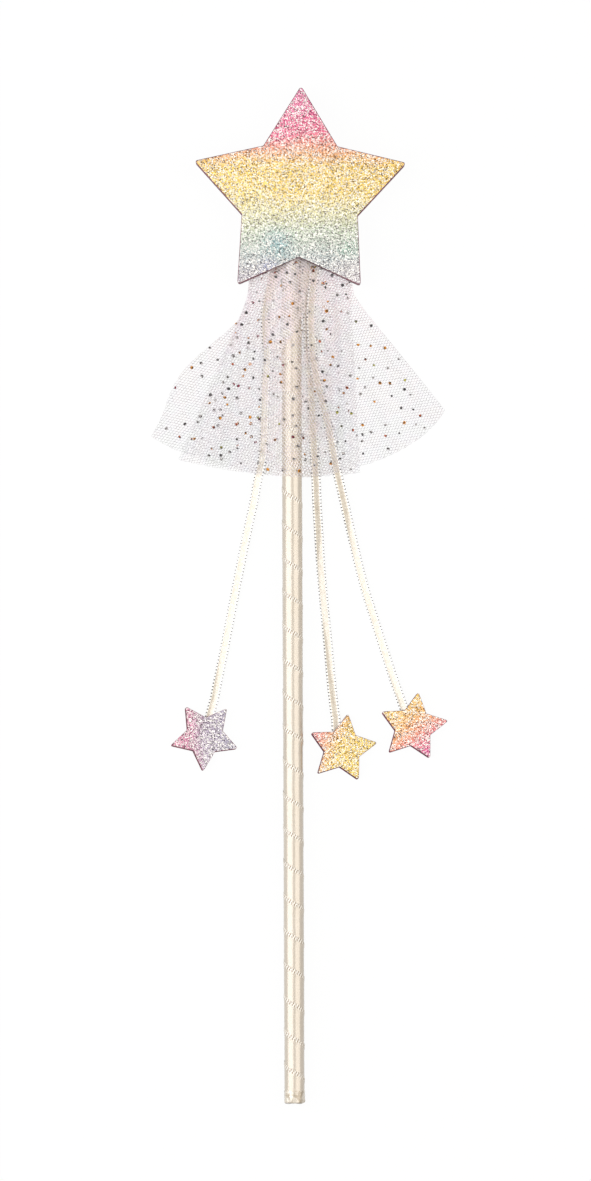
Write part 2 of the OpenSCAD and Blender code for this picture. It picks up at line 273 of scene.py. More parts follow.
def satinFinish(name, plan):
    # the selvage is the share of the width that is woven edge, in rows of knots with gaps between
    finish, tree, shader = newFinish(name, plan["rough"], Metallic=plan["metal"], Coat_Weight=plan["coat"],
                                     **satinPlan["gloss"])
    uv = addNode(tree, "UVMap", {"uv_map": plan["uv"]}).outputs[0]
    along, across, _ = addNode(tree, "SeparateXYZ", Vector=uv).outputs
    scale, low, high = plan["cloud"]
    cloud = noiseNode(tree, objectPlace(tree), scale, satinPlan["cloudDetail"])
    cloud = rangeNode(tree, cloud, low, high, kind="LINEAR")
    colour = mixColour(tree, cloud, plan["shade"], plan["body"])
    # painted shade: where a plan gives a hem colour, the colour darkens towards the far side of the width,
    # the foot's end
    if plan["hem"]:
        below = rangeNode(tree, across, *satinPlan["endShadeAt"], kind="LINEAR")
        colour = mixColour(tree, below, colour, plan["hem"])
    fromEdge = across
    if not plan["oneSided"]:
        fromEdge = mathNode(tree, "MINIMUM", across, mathNode(tree, "SUBTRACT", 1.0, across))
    onEdge = mathNode(tree, "LESS_THAN", fromEdge, plan["selvage"])
    wave = mathNode(tree, "SINE", times(tree, along, fullTurn))
    row = times(tree, fromEdge, plan["rows"] * pi / plan["selvage"])
    knot = times(tree, wave, mathNode(tree, "SINE", row))
    gap = mathNode(tree, "LESS_THAN", knot, plan["gapBelow"])
    colour = mixColour(tree, onEdge, colour, plan["edge"])
    colour = mixColour(tree, times(tree, onEdge, gap), colour, plan["gap"])
    rib = mathNode(tree, "SINE", times(tree, across, plan["ribs"] * fullTurn))
    raised = times(tree, times(tree, onEdge, knot), satinPlan["knotHeight"])
    height = mathNode(tree, "ADD", rib, raised)
    bump = bumpNode(tree, height, satinPlan["bump"], satinPlan["ribDepth"])
    tangent = addNode(tree, "Tangent", {"direction_type": "UV_MAP", "uv_map": plan["uv"]}).outputs[0]
    paint(tree, shader, colour, Normal=bump, Tangent=tangent)
    return finish


satinNames = ("ribbon", "wrap", "edge", "foot")
satin = {name: satinFinish(f"{name}Satin", satinPlan[name]) for name in satinNames}


# narrow ribbons, as flat cords
ribbonPlan = {
    "width": 0.0032, "thick": 0.00022, "crown": 0.5, "flat": 0.4, "bead": 0.00113, "stepsPerBead": 4,
    "knotRise": 0.7, "scallop": 0.00009, "rim": (0.00008, 0.00032, 0.00046), "smooth": 50.0,
    "grip": 0.0055, "seamUp": 0.036, "hemHinge": 0.0755, "charmRoom": 0.0045, "bendUp": 0.0035,
    "bendDown": 0.004, "routeSteps": 24, "pathStep": 4,
    # the turn about the ribbon's own line in degrees, by the drop below the notch
    "rollAt": (0.012, 0.032, 0.062, 0.076, 0.084, 0.092, 0.102, 0.118, 0.128, 0.136, 0.144),
    "roll": {
        "left": (0, -10, -12, -14, -16, -17, -16, -17, -16, -13, -7),
        "middle": (0, 4, 3, 0, 0, -1, -13, -17, -7, -6, 0),
        "right": (0, -4, -2, 0, -2, -11, -17, -16, -17, -16, -12),
    },
    # each point is its place right of the axis, below the notch and above the axis, in millimetres
    "routes": {
        "left": [
            (-5.5, -6, 0), (-5.5, 5, 0), (-7.5, 12, -0.3), (-8.8, 20, -0.8), (-8.2, 32, -1.3),
            (-8.9, 45, -1.8), (-9.6, 64, -2.4), (-11.5, 74, -2.6), (-13, 82, -2.9), (-15, 91, -3.4),
            (-18.7, 109, -3.8), (-22.6, 129, -3.8), (-25.3, 142, -3.3), (-26.3, 147, -2.9),
            (-27.9, 153, -2.9),
        ],
        "middle": [
            (5.2, -6, -0.35), (5.2, 5, -0.35), (5.2, 12, -0.6), (5.6, 27, -1.4), (6.4, 42, -2),
            (7.3, 62, -2.5), (8, 74, -2.6), (8.3, 82, -2.9), (8.8, 91, -3.4), (9.6, 105, -3.8),
            (11.5, 126, -3.8), (12.9, 142, -3.4), (13.9, 151, -2.9), (14.3, 154, -2.9), (14.6, 158, -2.9),
        ],
        "right": [
            (8, -6, 0.35), (7.7, 5, 0.35), (7, 12, 0.2), (6.6, 20, -0.1), (7.4, 35, -0.8), (10.2, 48, -1.8),
            (12.6, 58, -2.3), (14.8, 70, -2.6), (17.5, 82, -2.9), (20.4, 95, -3.5), (23.8, 109, -3.8),
            (29, 126, -3.8), (33.8, 141, -3.3), (35.2, 145, -2.9), (37.3, 151, -2.9),
        ],
    },
    "charmTurn": {"left": 3.0, "middle": -27.0, "right": -28.0},
}
ribbonRoutes = {side: np.array(points) * mm for side, points in ribbonPlan["routes"].items()}


def smoothRoute(points, spacing):
    # a curve through the points, cut into even steps
    points = list(points)
    padded = [2 * points[0] - points[1], *points, 2 * points[-1] - points[-2]]
    fine = []
    for a, b, c, d in zip(padded, padded[1:], padded[2:], padded[3:]):
        for t in np.linspace(0, 1, ribbonPlan["routeSteps"], endpoint=False):
            fine.append(0.5 * (2 * b + (c - a) * t + (2 * a - 5 * b + 4 * c - d) * t ** 2
                               + (3 * b - a - 3 * c + d) * t ** 3))
    fine = np.array(fine + [points[-1]])
    run = np.concatenate([[0], np.cumsum(np.linalg.norm(np.diff(fine, axis=0), axis=1))])
    even = np.arange(0, run[-1], spacing)
    return np.stack([np.interp(even, run, fine[:, k]) for k in range(3)], 1), even


def ribbonBand(name, line, run, side):
    # one band along the line, with a row of woven knots on each edge
    plan, thick = ribbonPlan, ribbonPlan["thick"]
    rings, uvs = [], []
    for point, way, far in zip(line, np.gradient(line, axis=0), run):
        way = way / np.linalg.norm(way)
        wide = np.cross(way, (0, 0, 1))
        wide = wide / np.linalg.norm(wide)
        roll = radians(np.interp(notchY - point[1], plan["rollAt"], plan["roll"][side]))
        wide, up = turned(wide, np.cross(wide, way), -roll)
        knot = 0.5 + 0.5 * sin(fullTurn * far / plan["bead"])
        edge = plan["width"] / 2 - plan["scallop"] * (1 - knot)
        bead = thick / 2 * (1 + plan["knotRise"] * knot)
        levels = zip(plan["rim"], (bead, bead, thick * plan["flat"]))
        quarter = [(edge, 0)] + [(edge - inset, level) for inset, level in levels]
        front = quarter + [(0, thick * plan["crown"])] + [(-s, u) for s, u in quarter[:0:-1]]
        section = front + [(-s, -u) for s, u in front]
        rings += [point + wide * s + up * u for s, u in section]
        uvs += [(far / plan["bead"], 0.5 + s / plan["width"]) for s, _ in section]
    across, last = len(section), len(rings) - len(section)
    faces = gridFaces(len(line), across, closed=True)
    faces += [tuple(range(across))[::-1], tuple(range(last, len(rings)))]
    band = newPiece(name, rings, faces, satin["ribbon"])
    writeUv(band, "ribbonUv", uvs)
    editWhole(band, (bpy.ops.mesh.normals_make_consistent, {"inside": False}))
    smoothByAngle(band, plan["smooth"])
    return band


def ribbonLine(side):
    # the route, run on into the charm, and its length at each step
    turn = radians(ribbonPlan["charmTurn"][side])
    mouth = ribbonRoutes[side][-1]
    inside = mouth + ribbonPlan["grip"] * np.array((-sin(turn), cos(turn), 0))
    placed = np.vstack([ribbonRoutes[side], inside]) * (1, -1, 1) + (0, notchY, 0)
    return smoothRoute(placed, ribbonPlan["bead"] / ribbonPlan["stepsPerBead"])


def nearestStep(line, y):
    return int(np.argmin(np.abs(line[:, 1] - y)))


def bendAt(piece):
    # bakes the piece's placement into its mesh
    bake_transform(piece)


for side in ribbonSides:
    line, run = ribbonLine(side)
    charmY = notchY - (ribbonRoutes[side][-1][1] - ribbonPlan["charmRoom"])
    split = nearestStep(line, charmY + ribbonPlan["seamUp"])
    upper = ribbonBand(f"{side}_ribbon_upper", line[:split + 1], run[:split + 1], side)
    lower = ribbonBand(f"{side}_ribbon_lower", line[split:], run[split:], side)
    bendAt(upper)
    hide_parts(f"{side}_ribbon_top", f"{side}_ribbon_tail")
    bendAt(lower)
    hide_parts(f"{side}_ribbon_tip")
print("ribbons laid")


# glitter finishes: a gradient under loose flakes, with painted glints and painted shade on a share of the
# flakes
glitterPlan = {
    "rough": 0.30, "metal": 0.25, "cloud": (75.0, 2.0), "cell": 0.00032, "tilt": 1.1,
    # painted glints: a share of flakes painted near white
    "white": srgb(252, 250, 246), "glintFlakeShare": 0.35, "glintStrength": 0.85,
    # painted shade: a share of flakes painted darker
    "flakeShade": srgb(124, 116, 120), "flakeShadeShare": 0.19,
    "star": {
        "from": (0.003, 0.3338), "to": (0.003, 0.2690), "drift": 0.10,
        "stops": [
            (0.00, 232, 150, 182), (0.14, 234, 112, 156), (0.24, 236, 120, 150), (0.30, 240, 162, 134),
            (0.40, 244, 206, 108), (0.53, 243, 210, 110), (0.63, 222, 214, 160), (0.74, 196, 206, 184),
            (0.86, 182, 192, 190), (1.00, 188, 178, 190),
        ],
        # soft pools of another colour: middle, reach, tint and strength
        "pools": [
            ((-0.0045, 0.2820), 0.0085, srgb(138, 174, 178), 0.85),
            ((0.0190, 0.2800), 0.0050, srgb(160, 200, 180), 0.6),
            ((-0.0075, 0.2745), 0.0050, srgb(158, 160, 190), 0.7),
            ((0.0200, 0.2715), 0.0090, srgb(212, 206, 208), 0.7),
        ],
    },
    "left": {
        "from": (-0.0405, 0.1190), "to": (-0.0190, 0.1190), "drift": 0.16,
        "stops": [(0.00, 206, 120, 150), (0.28, 206, 140, 166), (0.50, 180, 164, 182), (1.00, 172, 168, 186)],
    },
    "middle": {
        "from": (0.0080, 0.1190), "to": (0.0275, 0.1100), "drift": 0.16,
        "stops": [(0.00, 232, 146, 140), (0.20, 238, 172, 126), (0.45, 242, 205, 104),
                  (0.80, 241, 207, 104), (1.00, 218, 202, 112)],
    },
    "right": {
        "from": (0.0330, 0.1300), "to": (0.0470, 0.1090), "drift": 0.16,
        "stops": [(0.00, 242, 204, 102), (0.35, 241, 184, 110), (0.58, 237, 146, 130),
                  (0.80, 226, 100, 154), (1.00, 220, 96, 162)],
    },
}


def glitterFinish(name, plan, flakes):
    finish, tree, shader = newFinish(name, glitterPlan["rough"], Metallic=glitterPlan["metal"])
    place = objectPlace(tree)
    start, end = Vector((*plan["from"], 0)), Vector((*plan["to"], 0))
    way = (end - start) / (end - start).length_squared
    reach = vectorNode(tree, "DOT_PRODUCT", place, tuple(way))
    cloud = noiseNode(tree, place, *glitterPlan["cloud"])
    drift = times(tree, mathNode(tree, "SUBTRACT", cloud, 0.5), plan["drift"])
    share = mathNode(tree, "ADD", mathNode(tree, "SUBTRACT", reach, start.dot(way)), drift, clamp=True)
    colour = rampNode(tree, share, plan["stops"])
    for middle, radius, tint, strength in plan.get("pools", []):
        far = vectorNode(tree, "DISTANCE", vectorNode(tree, "MULTIPLY", place, (1, 1, 0)), (*middle, 0))
        colour = mixColour(tree, rangeNode(tree, far, 0.0, radius, strength, 0.0), colour, tint)
    if flakes:
        chance = addNode(tree, "Attribute", {"attribute_name": "spark"}).outputs["Fac"]
    else:
        cells = addNode(tree, "TexVoronoi", Vector=place, Scale=1 / glitterPlan["cell"]).outputs["Color"]
        chance = addNode(tree, "SeparateColor", Color=cells).outputs[0]
        tilt = vectorNode(tree, "SUBTRACT", cells, (0.5, 0.5, 0.5))
        tilt = vectorNode(tree, "SCALE", tilt, Scale=glitterPlan["tilt"])
        leant = vectorNode(tree, "ADD", addNode(tree, "NewGeometry").outputs["Normal"], tilt)
        feed(tree, shader.inputs["Normal"], vectorNode(tree, "NORMALIZE", leant))
    # painted shade: a share of the flakes painted darker
    flakeShade = mixColour(tree, 1.0, colour, glitterPlan["flakeShade"], blend="MULTIPLY")
    isShadedFlake = mathNode(tree, "LESS_THAN", chance, glitterPlan["flakeShadeShare"])
    # painted glints: a share of the flakes painted near white
    isGlinting = mathNode(tree, "GREATER_THAN", chance, 1 - glitterPlan["glintFlakeShare"])
    colour = mixColour(tree, isShadedFlake, colour, flakeShade)
    white = times(tree, isGlinting, glitterPlan["glintStrength"])
    paint(tree, shader, mixColour(tree, white, colour, glitterPlan["white"]))
    return finish


foamPlan = {
    "rough": 0.85, "sheen": 0.15, "grain": 1500.0, "cloud": (240.0, 4.0), "bump": 0.5, "pitDepth": 0.0001,
    "pits": [(0.05, 84, 44, 54), (0.42, 150, 90, 106)],
    # painted shade: the foam darker round the notch
    "shade": srgb(84, 44, 52), "shadeAt": (0.003, notchY, 0), "shadeReach": (0.009, 0.017),
}


def foamFinish():
    plan = foamPlan
    finish, tree, shader = newFinish("wineFoam", plan["rough"], Sheen_Weight=plan["sheen"])
    place = objectPlace(tree)
    cells = addNode(tree, "TexVoronoi", Vector=place, Scale=plan["grain"]).outputs["Distance"]
    mixed = times(tree, cells, noiseNode(tree, place, *plan["cloud"]))
    colour = rampNode(tree, mixed, plan["pits"])
    # painted shade round the notch
    far = vectorNode(tree, "DISTANCE", place, plan["shadeAt"])
    near = rangeNode(tree, far, *plan["shadeReach"], 1.0, 0.0)
    colour = mixColour(tree, near, colour, plan["shade"])
    paint(tree, shader, colour, Normal=bumpNode(tree, mixed, plan["bump"], plan["pitDepth"]))
    return finish


wineFoam = foamFinish()
glitterNames = ("star", *ribbonSides)
sheetGlitter = {k: glitterFinish(f"{k}Glitter", glitterPlan[k], False) for k in glitterNames}
flakeGlitter = {k: glitterFinish(f"{k}Flakes", glitterPlan[k], True) for k in glitterNames}
softenPlan = {"weld": 0.00001, "flat": 2.0, "segments": 2, "cut": 40.0, "smooth": 35.0, "outward": 0.97}


def softenedCopy(node, name, rim):
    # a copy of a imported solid, with its cut edges eased
    plan = softenPlan
    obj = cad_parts[node].copy()
    obj.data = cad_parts[node].data.copy()
    obj.name = name
    obj.data.name = name
    for key in list(obj.keys()):
        del obj[key]
    obj.parent = None
    addToScene(obj)
    obj.data.materials.clear()
    editWhole(obj, (bpy.ops.mesh.remove_doubles, {"threshold": plan["weld"]}),
              (bpy.ops.mesh.dissolve_limited, {"angle_limit": radians(plan["flat"])}))
    applyModifier(obj, "BEVEL", width=rim, segments=plan["segments"], limit_method="ANGLE",
                  angle_limit=radians(plan["cut"]))
    smoothByAngle(obj, plan["smooth"])
    return obj


def outerSlots(obj, sheet, edge, facing):
    # glitter on the outer broad face, cut foam on the rest
    obj.data.materials.append(sheet)
    obj.data.materials.append(edge)
    for face in obj.data.polygons:
        face.material_index = 0 if face.normal.z * facing > softenPlan["outward"] else 1


tipToNotch = 36.0  # degrees round a star from a tip to the next notch


def starReach(x, y, tip, notch):
    # how far inside a star's edge a point lies, with a tip towards +Y
    step = radians(tipToNotch)
    angle = atan2(x, y) % (2 * step)
    angle = min(angle, 2 * step - angle)
    radius = hypot(x, y)
    edge = Vector((notch * sin(step), notch * cos(step) - tip)).normalized()
    return edge.y * radius * sin(angle) - edge.x * (radius * cos(angle) - tip)


flakePlan = {
    "spacing": 0.00042, "size": (0.00011, 0.00020), "tilt": 26.0, "tiltPower": 0.6, "sunk": 0.00002,
    "rim": 0.0003, "corners": 6, "seed": 4, "uvSpan": (0.01, 0.98),
}


def glitterFlakes(name, stars, finish):
    # loose six-sided flakes over the broad faces; each star: middle, turn, tip, notch, taper, height, facing
    plan = flakePlan
    dice = random.Random(plan["seed"])
    points, faces, sparks = [], [], []
    for middle, turn, tip, notch, taper, height, facing in stars:
        count = int(2 * tip / plan["spacing"])
        for n in range(count * count):
            i, j = divmod(n, count)
            x = (i + dice.random()) * plan["spacing"] - tip
            y = (j + dice.random()) * plan["spacing"] - tip
            size = dice.uniform(*plan["size"])
            lean = radians(plan["tilt"]) * dice.random() ** plan["tiltPower"]
            heading, spin, spark = dice.uniform(0, fullTurn), dice.uniform(0, 1), dice.random()
            if starReach(x, y, tip, notch) < plan["rim"]:
                continue
            x, y = turned(x * (1 + taper * y / tip), y, -radians(turn))
            rise = size * sin(lean) - plan["sunk"]
            first = len(points)
            for k in range(plan["corners"]):
                a = fullTurn * k / plan["corners"] + spin
                u, v = turned(size * cos(a), size * sin(a) * cos(lean), heading)
                w = size * sin(a) * sin(lean)
                points.append((middle[0] + x + u, middle[1] + y + v, height + facing * (rise + w)))
            ring = tuple(range(first, len(points)))
            faces.append(ring if facing > 0 else ring[::-1])
            sparks.append(spark)
    obj = newPiece(name, points, faces, finish)
    attribute = obj.data.attributes.new("spark", "FLOAT", "FACE")
    attribute.data.foreach_set("value", np.array(sparks, np.float32))
    flat = np.array(points)[:, :2]
    low, high = flat.min(0), flat.max(0)
    start, span = plan["uvSpan"]
    writeUv(obj, "OFBake", start + span * (flat - low) / (high - low))
    return obj


# the star: two foam panels and two glitter sheets
starPlan = {
    "middle": (0.003, notchY + 0.0205), "turn": 0.8, "tip": 0.0366, "notch": 0.0205, "taper": 0.055,
    "face": 0.005, "foamRim": 0.0003, "sheetRim": 0.0002,
}
for where, facing in starFaces:
    foam = softenedCopy(f"star_{where}_foam", f"star_{where}_panel", starPlan["foamRim"])
    foam.data.materials.append(wineFoam)
    dress(foam, "wand", "star_foam", f"star_{where}_foam")
    sheet = softenedCopy(f"star_{where}_glitter", f"star_{where}_sheet", starPlan["sheetRim"])
    outerSlots(sheet, sheetGlitter["star"], wineFoam, facing)
    dress(sheet, "wand", "star_glitter", f"star_{where}_glitter")
    shape = [starPlan[key] for key in ("middle", "turn", "tip", "notch", "taper")]
    shape += [facing * starPlan["face"], facing]
    flakes = glitterFlakes(f"star_{where}_flakes", [shape], flakeGlitter["star"])
    dress(flakes, "wand", "star_glitter")
print("star covered")


# the charms: two halves each, glitter outside and foam between
charmPlan = {
    "tip": 0.0118, "notch": 0.0062, "half": 0.0012, "level": -0.0029, "rim": 0.0002,
    "aside": {"left": 0.0012, "middle": 0.0009, "right": 0.0},
    # the back half is glued on a little out of line, so its dark edge shows from the front
    "halfAside": {"front": (0.0, 0.0), "back": (-0.0003, -0.0003)},
}
charmPieces = {}
for side in ribbonSides:
    turn = ribbonPlan["charmTurn"][side]
    mouth = ribbonRoutes[side][-1]
    middle = (mouth[0] - charmPlan["aside"][side] - charmPlan["notch"] * sin(radians(turn)),
              notchY - mouth[1] - charmPlan["notch"] * cos(radians(turn)))
    stars = []
    charmPieces[side] = []
    for where, facing in starFaces:
        half = softenedCopy(f"{side}_charm_{where}", f"{side}_charm_{where}_half", charmPlan["rim"])
        outerSlots(half, sheetGlitter[side], wineFoam, facing)
        aside = charmPlan["halfAside"][where]
        for vertex in half.data.vertices:
            vertex.co.x += aside[0]
            vertex.co.y += aside[1]
        dress(half, f"{side}_charm", f"{side}_charm_glitter", f"{side}_charm_{where}")
        charmPieces[side].append(half)
        stars.append(((middle[0] + aside[0], middle[1] + aside[1]), turn + tipToNotch, charmPlan["tip"],
                      charmPlan["notch"], 0.0, charmPlan["level"] + facing * charmPlan["half"], facing))
    flakes = glitterFlakes(f"{side}_charm_flakes", stars, flakeGlitter[side])
    dress(flakes, f"{side}_charm", f"{side}_charm_glitter")
    charmPieces[side].append(flakes)
print("charms made")


# the wound ribbon on the stick: one long strip, each turn lapping over the last
windPlan = {
    "pitch": 0.01127, "seamY": 0.1985, "top": 0.2829, "foot": -0.0004, "radius": 0.00335,
    "bead": 0.00085, "stepsPerBead": 6, "beadRise": 0.00005, "scallop": 0.00012, "scallopTo": 0.0001,
    "sagFrom": 0.0015, "sags": ((0.00003, 0.37), (0.00002, 1.9)), "weld": 0.000001, "smooth": 55.0,
    # across the strip: place below its upper edge, height over the turn's own level, share of the knots
    "section": [
        (-0.00004, 0.0, 0.0), (0.0, 0.00007, 0.6), (0.0003, 0.0001, 1.0), (0.0006, 0.0001, 0.6),
        (0.0009, 0.0001, -0.6), (0.0012, 0.0001, -1.0), (0.0015, 0.00008, -0.3), (0.0022, 0.00002, 0.0),
        (0.0032, 0.0, 0.0), (0.006, 0.0, 0.0), (0.009, 0.0, 0.0), (0.0108, -0.00001, 0.0),
        (0.0122, -0.00005, 0.0), (0.0132, -0.00008, 0.0),
    ],
}


def windStrip():
    plan, section = windPlan, windPlan["section"]
    width = section[-1][0]
    perTurn = int(round(fullTurn * plan["radius"] / plan["bead"])) * plan["stepsPerBead"]
    firstTurn = floor((plan["seamY"] - plan["top"] - width) / plan["pitch"])
    lastTurn = ceil((plan["seamY"] - plan["foot"]) / plan["pitch"])
    rings = (lastTurn - firstTurn) * perTurn + 1
    points, uvs = [], []
    for n in range(rings):
        turn = firstTurn + n / perTurn
        angle = fullTurn * turn
        knot = sin(fullTurn * n / plan["stepsPerBead"])
        sag = sum(depth * sin(angle * rate) for depth, rate in plan["sags"])
        for down, rise, share in section:
            y = plan["seamY"] - plan["pitch"] * turn - down
            if down < plan["scallopTo"]:
                y -= plan["scallop"] * (0.5 - 0.5 * knot)
            radius = plan["radius"] + rise + plan["beadRise"] * max(0.0, knot * share)
            if down > plan["sagFrom"]:
                radius += sag
            y = clamped(y, plan["foot"], plan["top"])
            points.append((radius * sin(angle), y, radius * cos(angle)))
            uvs.append((n / plan["stepsPerBead"], max(0.0, down) / width))
    faces = gridFaces(rings, len(section))
    strip = newPiece("wound_ribbon", points, faces, satin["wrap"], satin["edge"])
    writeUv(strip, "windUv", uvs)
    woven = sum(down < wrapLook["selvage"] * width for down, _, _ in section)
    for face in strip.data.polygons:
        face.material_index = int(face.index % (len(section) - 1) < woven - 1)
    editWhole(strip, (bpy.ops.mesh.dissolve_degenerate, {"threshold": plan["weld"]}))
    smoothByAngle(strip, plan["smooth"])
    return strip


wound = windStrip()
dress(wound, "wand", "wrap_satin", "satin_wrap", "wrap_lap")
print("ribbon wound:", len(wound.data.polygons), "faces")


# the ribbon's end, gathered over the foot
footPlan = {
    "radius": 0.00347, "length": 0.0046, "sides": 72, "round": 0.0011, "roundSteps": 5, "flush": 0.00001,
    "rings": 5, "ringStep": 0.00042, "smooth": 35.0, "seed": 11, "uvTurns": 26, "uvSpan": (0.2, 0.6),
    # pleats round the side: how many, their twist on the way down and their share
    "pleats": ((7, 1.9, 1.6), (11, -2.6, 0.9)), "pleatDepth": 0.00015, "pleatFrom": 0.0024,
    "pleatGrowth": 1.8,
    # folds on the end, with their spiral, over a hollow
    "foldDepth": 0.0009, "folds": 3, "spiral": 900, "hollow": 0.0003, "endFrom": 0.75, "endReach": 1.02,
}


def footGather():
    plan = footPlan
    bpy.ops.object.select_all(action="DESELECT")
    bpy.ops.mesh.primitive_cylinder_add(vertices=plan["sides"], radius=plan["radius"], depth=plan["length"],
                                        end_fill_type="NGON", location=(0, -plan["length"] / 2, 0),
                                        rotation=(radians(90), 0, 0))
    obj = bpy.context.object
    obj.name = obj.data.name = "foot_gather"
    bpy.ops.object.transform_apply(location=True, rotation=True, scale=True)
    mesh = obj.data
    pickOnly(obj)
    enterMode("EDIT")
    bpy.ops.mesh.select_mode(type="EDGE")
    bpy.ops.mesh.select_all(action="DESELECT")
    enterMode("OBJECT")
    for edge in mesh.edges:
        edge.select = all(mesh.vertices[v].co.y < plan["flush"] - plan["length"] for v in edge.vertices)
    enterMode("EDIT")
    bpy.ops.mesh.bevel(offset=plan["round"], segments=plan["roundSteps"], affect="EDGES")
    enterMode("OBJECT")
    for part in (*mesh.polygons, *mesh.edges, *mesh.vertices):
        part.select = False
    endFace = min(mesh.polygons, key=lambda face: (round(face.center.y, 6), -face.area))
    endFace.select = True
    enterMode("EDIT")
    bpy.ops.mesh.select_mode(type="FACE")
    for _ in range(plan["rings"]):  # rings across the end, for the folds
        bpy.ops.mesh.inset(thickness=plan["ringStep"])
    editWhole(obj, (bpy.ops.mesh.normals_make_consistent, {"inside": False}))
    applyModifier(obj, "SUBSURF", subdivision_type="SIMPLE", levels=1, render_levels=1)
    dice = random.Random(plan["seed"])
    *pleatPhases, foldPhase = [dice.uniform(0, fullTurn) for _ in range(3)]
    for vertex in mesh.vertices:
        x, y, z = vertex.co
        radius, angle = hypot(x, z), atan2(x, z)
        down = -y / plan["length"]
        fold = 1.0
        for (count, twist, share), phase in zip(plan["pleats"], pleatPhases):
            fold -= share * abs(sin(count * angle / 2 + twist * down + phase))
        out = plan["pleatDepth"] * fold * clamped(down * plan["pleatGrowth"])
        if radius > plan["pleatFrom"]:
            vertex.co.x += out * x / radius
            vertex.co.z += out * z / radius
        onEnd = max(0.0, 1 - radius / (plan["radius"] * plan["endReach"])) * (down > plan["endFrom"])
        wave = 0.5 + 0.5 * sin(plan["folds"] * angle + foldPhase + plan["spiral"] * radius)
        vertex.co.y += (plan["foldDepth"] * wave + plan["hollow"]) * onEnd
    start, span = plan["uvSpan"]
    writeUv(obj, "windUv", [(atan2(v.co.x, v.co.z) / fullTurn * plan["uvTurns"],
                             start - span * v.co.y / plan["length"]) for v in mesh.vertices])
    smoothByAngle(obj, plan["smooth"])
    obj.data.materials.append(satin["foot"])
    return obj


foot = footGather()
dress(foot, "wand", "wrap_satin", "foot_fold")
print("foot gathered")


# the tulle skirt: two layers of six-sided net
tullePlan = {
    "mesh": 0.0010, "thread": 0.00017, "thick": 0.00011, "length": 0.073, "tuck": 0.006, "neck": 0.034,
    "shift": 0.003, "bend": 0.003, "legDrop": 0.00911, "tuckLevel": 0.001, "tuckCrown": 0.00365,
    "tuckSpread": 0.00362, "hemSpread": 0.009, "pleats": 13, "pleatRise": 0.00018, "hemPower": 1.6,
    "twist": 30.0, "twistWithin": 20.0, "span": 0.085, "sideSpare": 1.03, "hemSpare": 0.0004,
    "leastCell": 0.4, "weldSteps": 2e5, "leastCover": 0.3, "gatherLift": 0.00022,
    "front": {
        "flareAt": 0.0125, "flare": (0.44, 0.82), "bow": (0.0, 0.0), "rise": (0.006, 0.0225), "folds": 5,
        "foldRise": 0.0009, "hemLevel": -0.0015, "sink": 1.0, "grain": 8.0, "facing": 1,
        # folds of the gathers: drop with left and right edge, from the notch down, in millimetres
        "plies": [
            {"grain": 27.0, "thread": 0.00042,
             "left": [(-4, -7.8), (10, -8.2), (20, -8.8), (30.4, -9.3)],
             "right": [(-4, 6), (10, 5.2), (18, 4.1), (22.8, 2.1), (30.4, -3)]},
            {"grain": 27.0,
             "left": [(29, -9.4), (61, -9.8), (70, -8.5)],
             "right": [(29, -2.8), (70, -4)]},
            {"grain": -6.0,
             "left": [(-4, 4.4), (11, 4.8), (15, 7), (26, 7), (34, 3.4), (50, 3.4), (60, 3.4)],
             "right": [(-4, 12.5), (12, 15), (30, 16.8), (60, 17.5)]},
            {"grain": -30.0,
             "left": [(4, -18), (16, -20), (26, -24), (36, -29)],
             "right": [(4, -12), (16, -13.8), (26, -16.8), (36, -24)]},
        ],
    },
    "back": {
        "flareAt": 0.017, "flare": (0.79, 0.05), "bow": (0.006, 0.0), "rise": (0.014, 0.0015), "folds": 4,
        "foldRise": 0.0003, "hemLevel": -0.0041, "sink": 0.8, "grain": -13.0, "facing": -1, "plies": [],
    },
}


def skirtHalf(layer, drop, s):
    # the layer's half width, left or right of its middle
    past = drop - layer["flareAt"]
    corner = tullePlan["length"] - layer["rise"][s]
    share = clamped(past / (corner - layer["flareAt"]))
    flared = layer["flare"][s] * (past + hypot(past, tullePlan["bend"])) / 2
    return tullePlan["neck"] / 2 + flared + layer["bow"][s] * sin(pi * share) ** 2


def hemDrop(layer, across, s):
    return tullePlan["length"] - layer["rise"][s] * min(1.0, abs(across)) ** tullePlan["hemPower"]


def skirtPlace(layer, x, y):
    # where a flat point lies on the layer: across from -1 to 1, its drop, the hem's drop there, left or right
    drop = notchY - y
    s = 0 if x < tullePlan["shift"] else 1
    across = (x - tullePlan["shift"]) / skirtHalf(layer, drop, s)
    return across, drop, hemDrop(layer, across, s), s


def skirtLevel(layer, x, across, drop):
    plan = tullePlan
    share = clamped((drop - plan["legDrop"]) / (plan["length"] - plan["legDrop"]))
    tuckLevel = layer["facing"] * plan["tuckLevel"]
    level = tuckLevel + (layer["hemLevel"] - tuckLevel) * share ** layer["sink"]
    fold = layer["foldRise"] * share * cos(pi * layer["folds"] * across)
    fold += plan["pleatRise"] * sin(pi * plan["pleats"] * across) * share * (1 - share) * 4
    crown = plan["tuckCrown"] if layer["facing"] > 0 else min(level, -plan["tuckCrown"])
    spread = plan["tuckSpread"] + (plan["hemSpread"] - plan["tuckSpread"]) * share
    return level + fold + (crown - level - fold) * exp(-(x / spread) ** 2)


def onSkirt(layer, x, y):
    # the nearest point of the layer, with its height
    across, drop, _, s = skirtPlace(layer, x, y)
    across = clamped(across, -1.0, 1.0)
    drop = clamped(drop, -tullePlan["tuck"], hemDrop(layer, across, s))
    x = tullePlan["shift"] + across * skirtHalf(layer, drop, s)
    return (x, notchY - drop, skirtLevel(layer, x, across, drop))


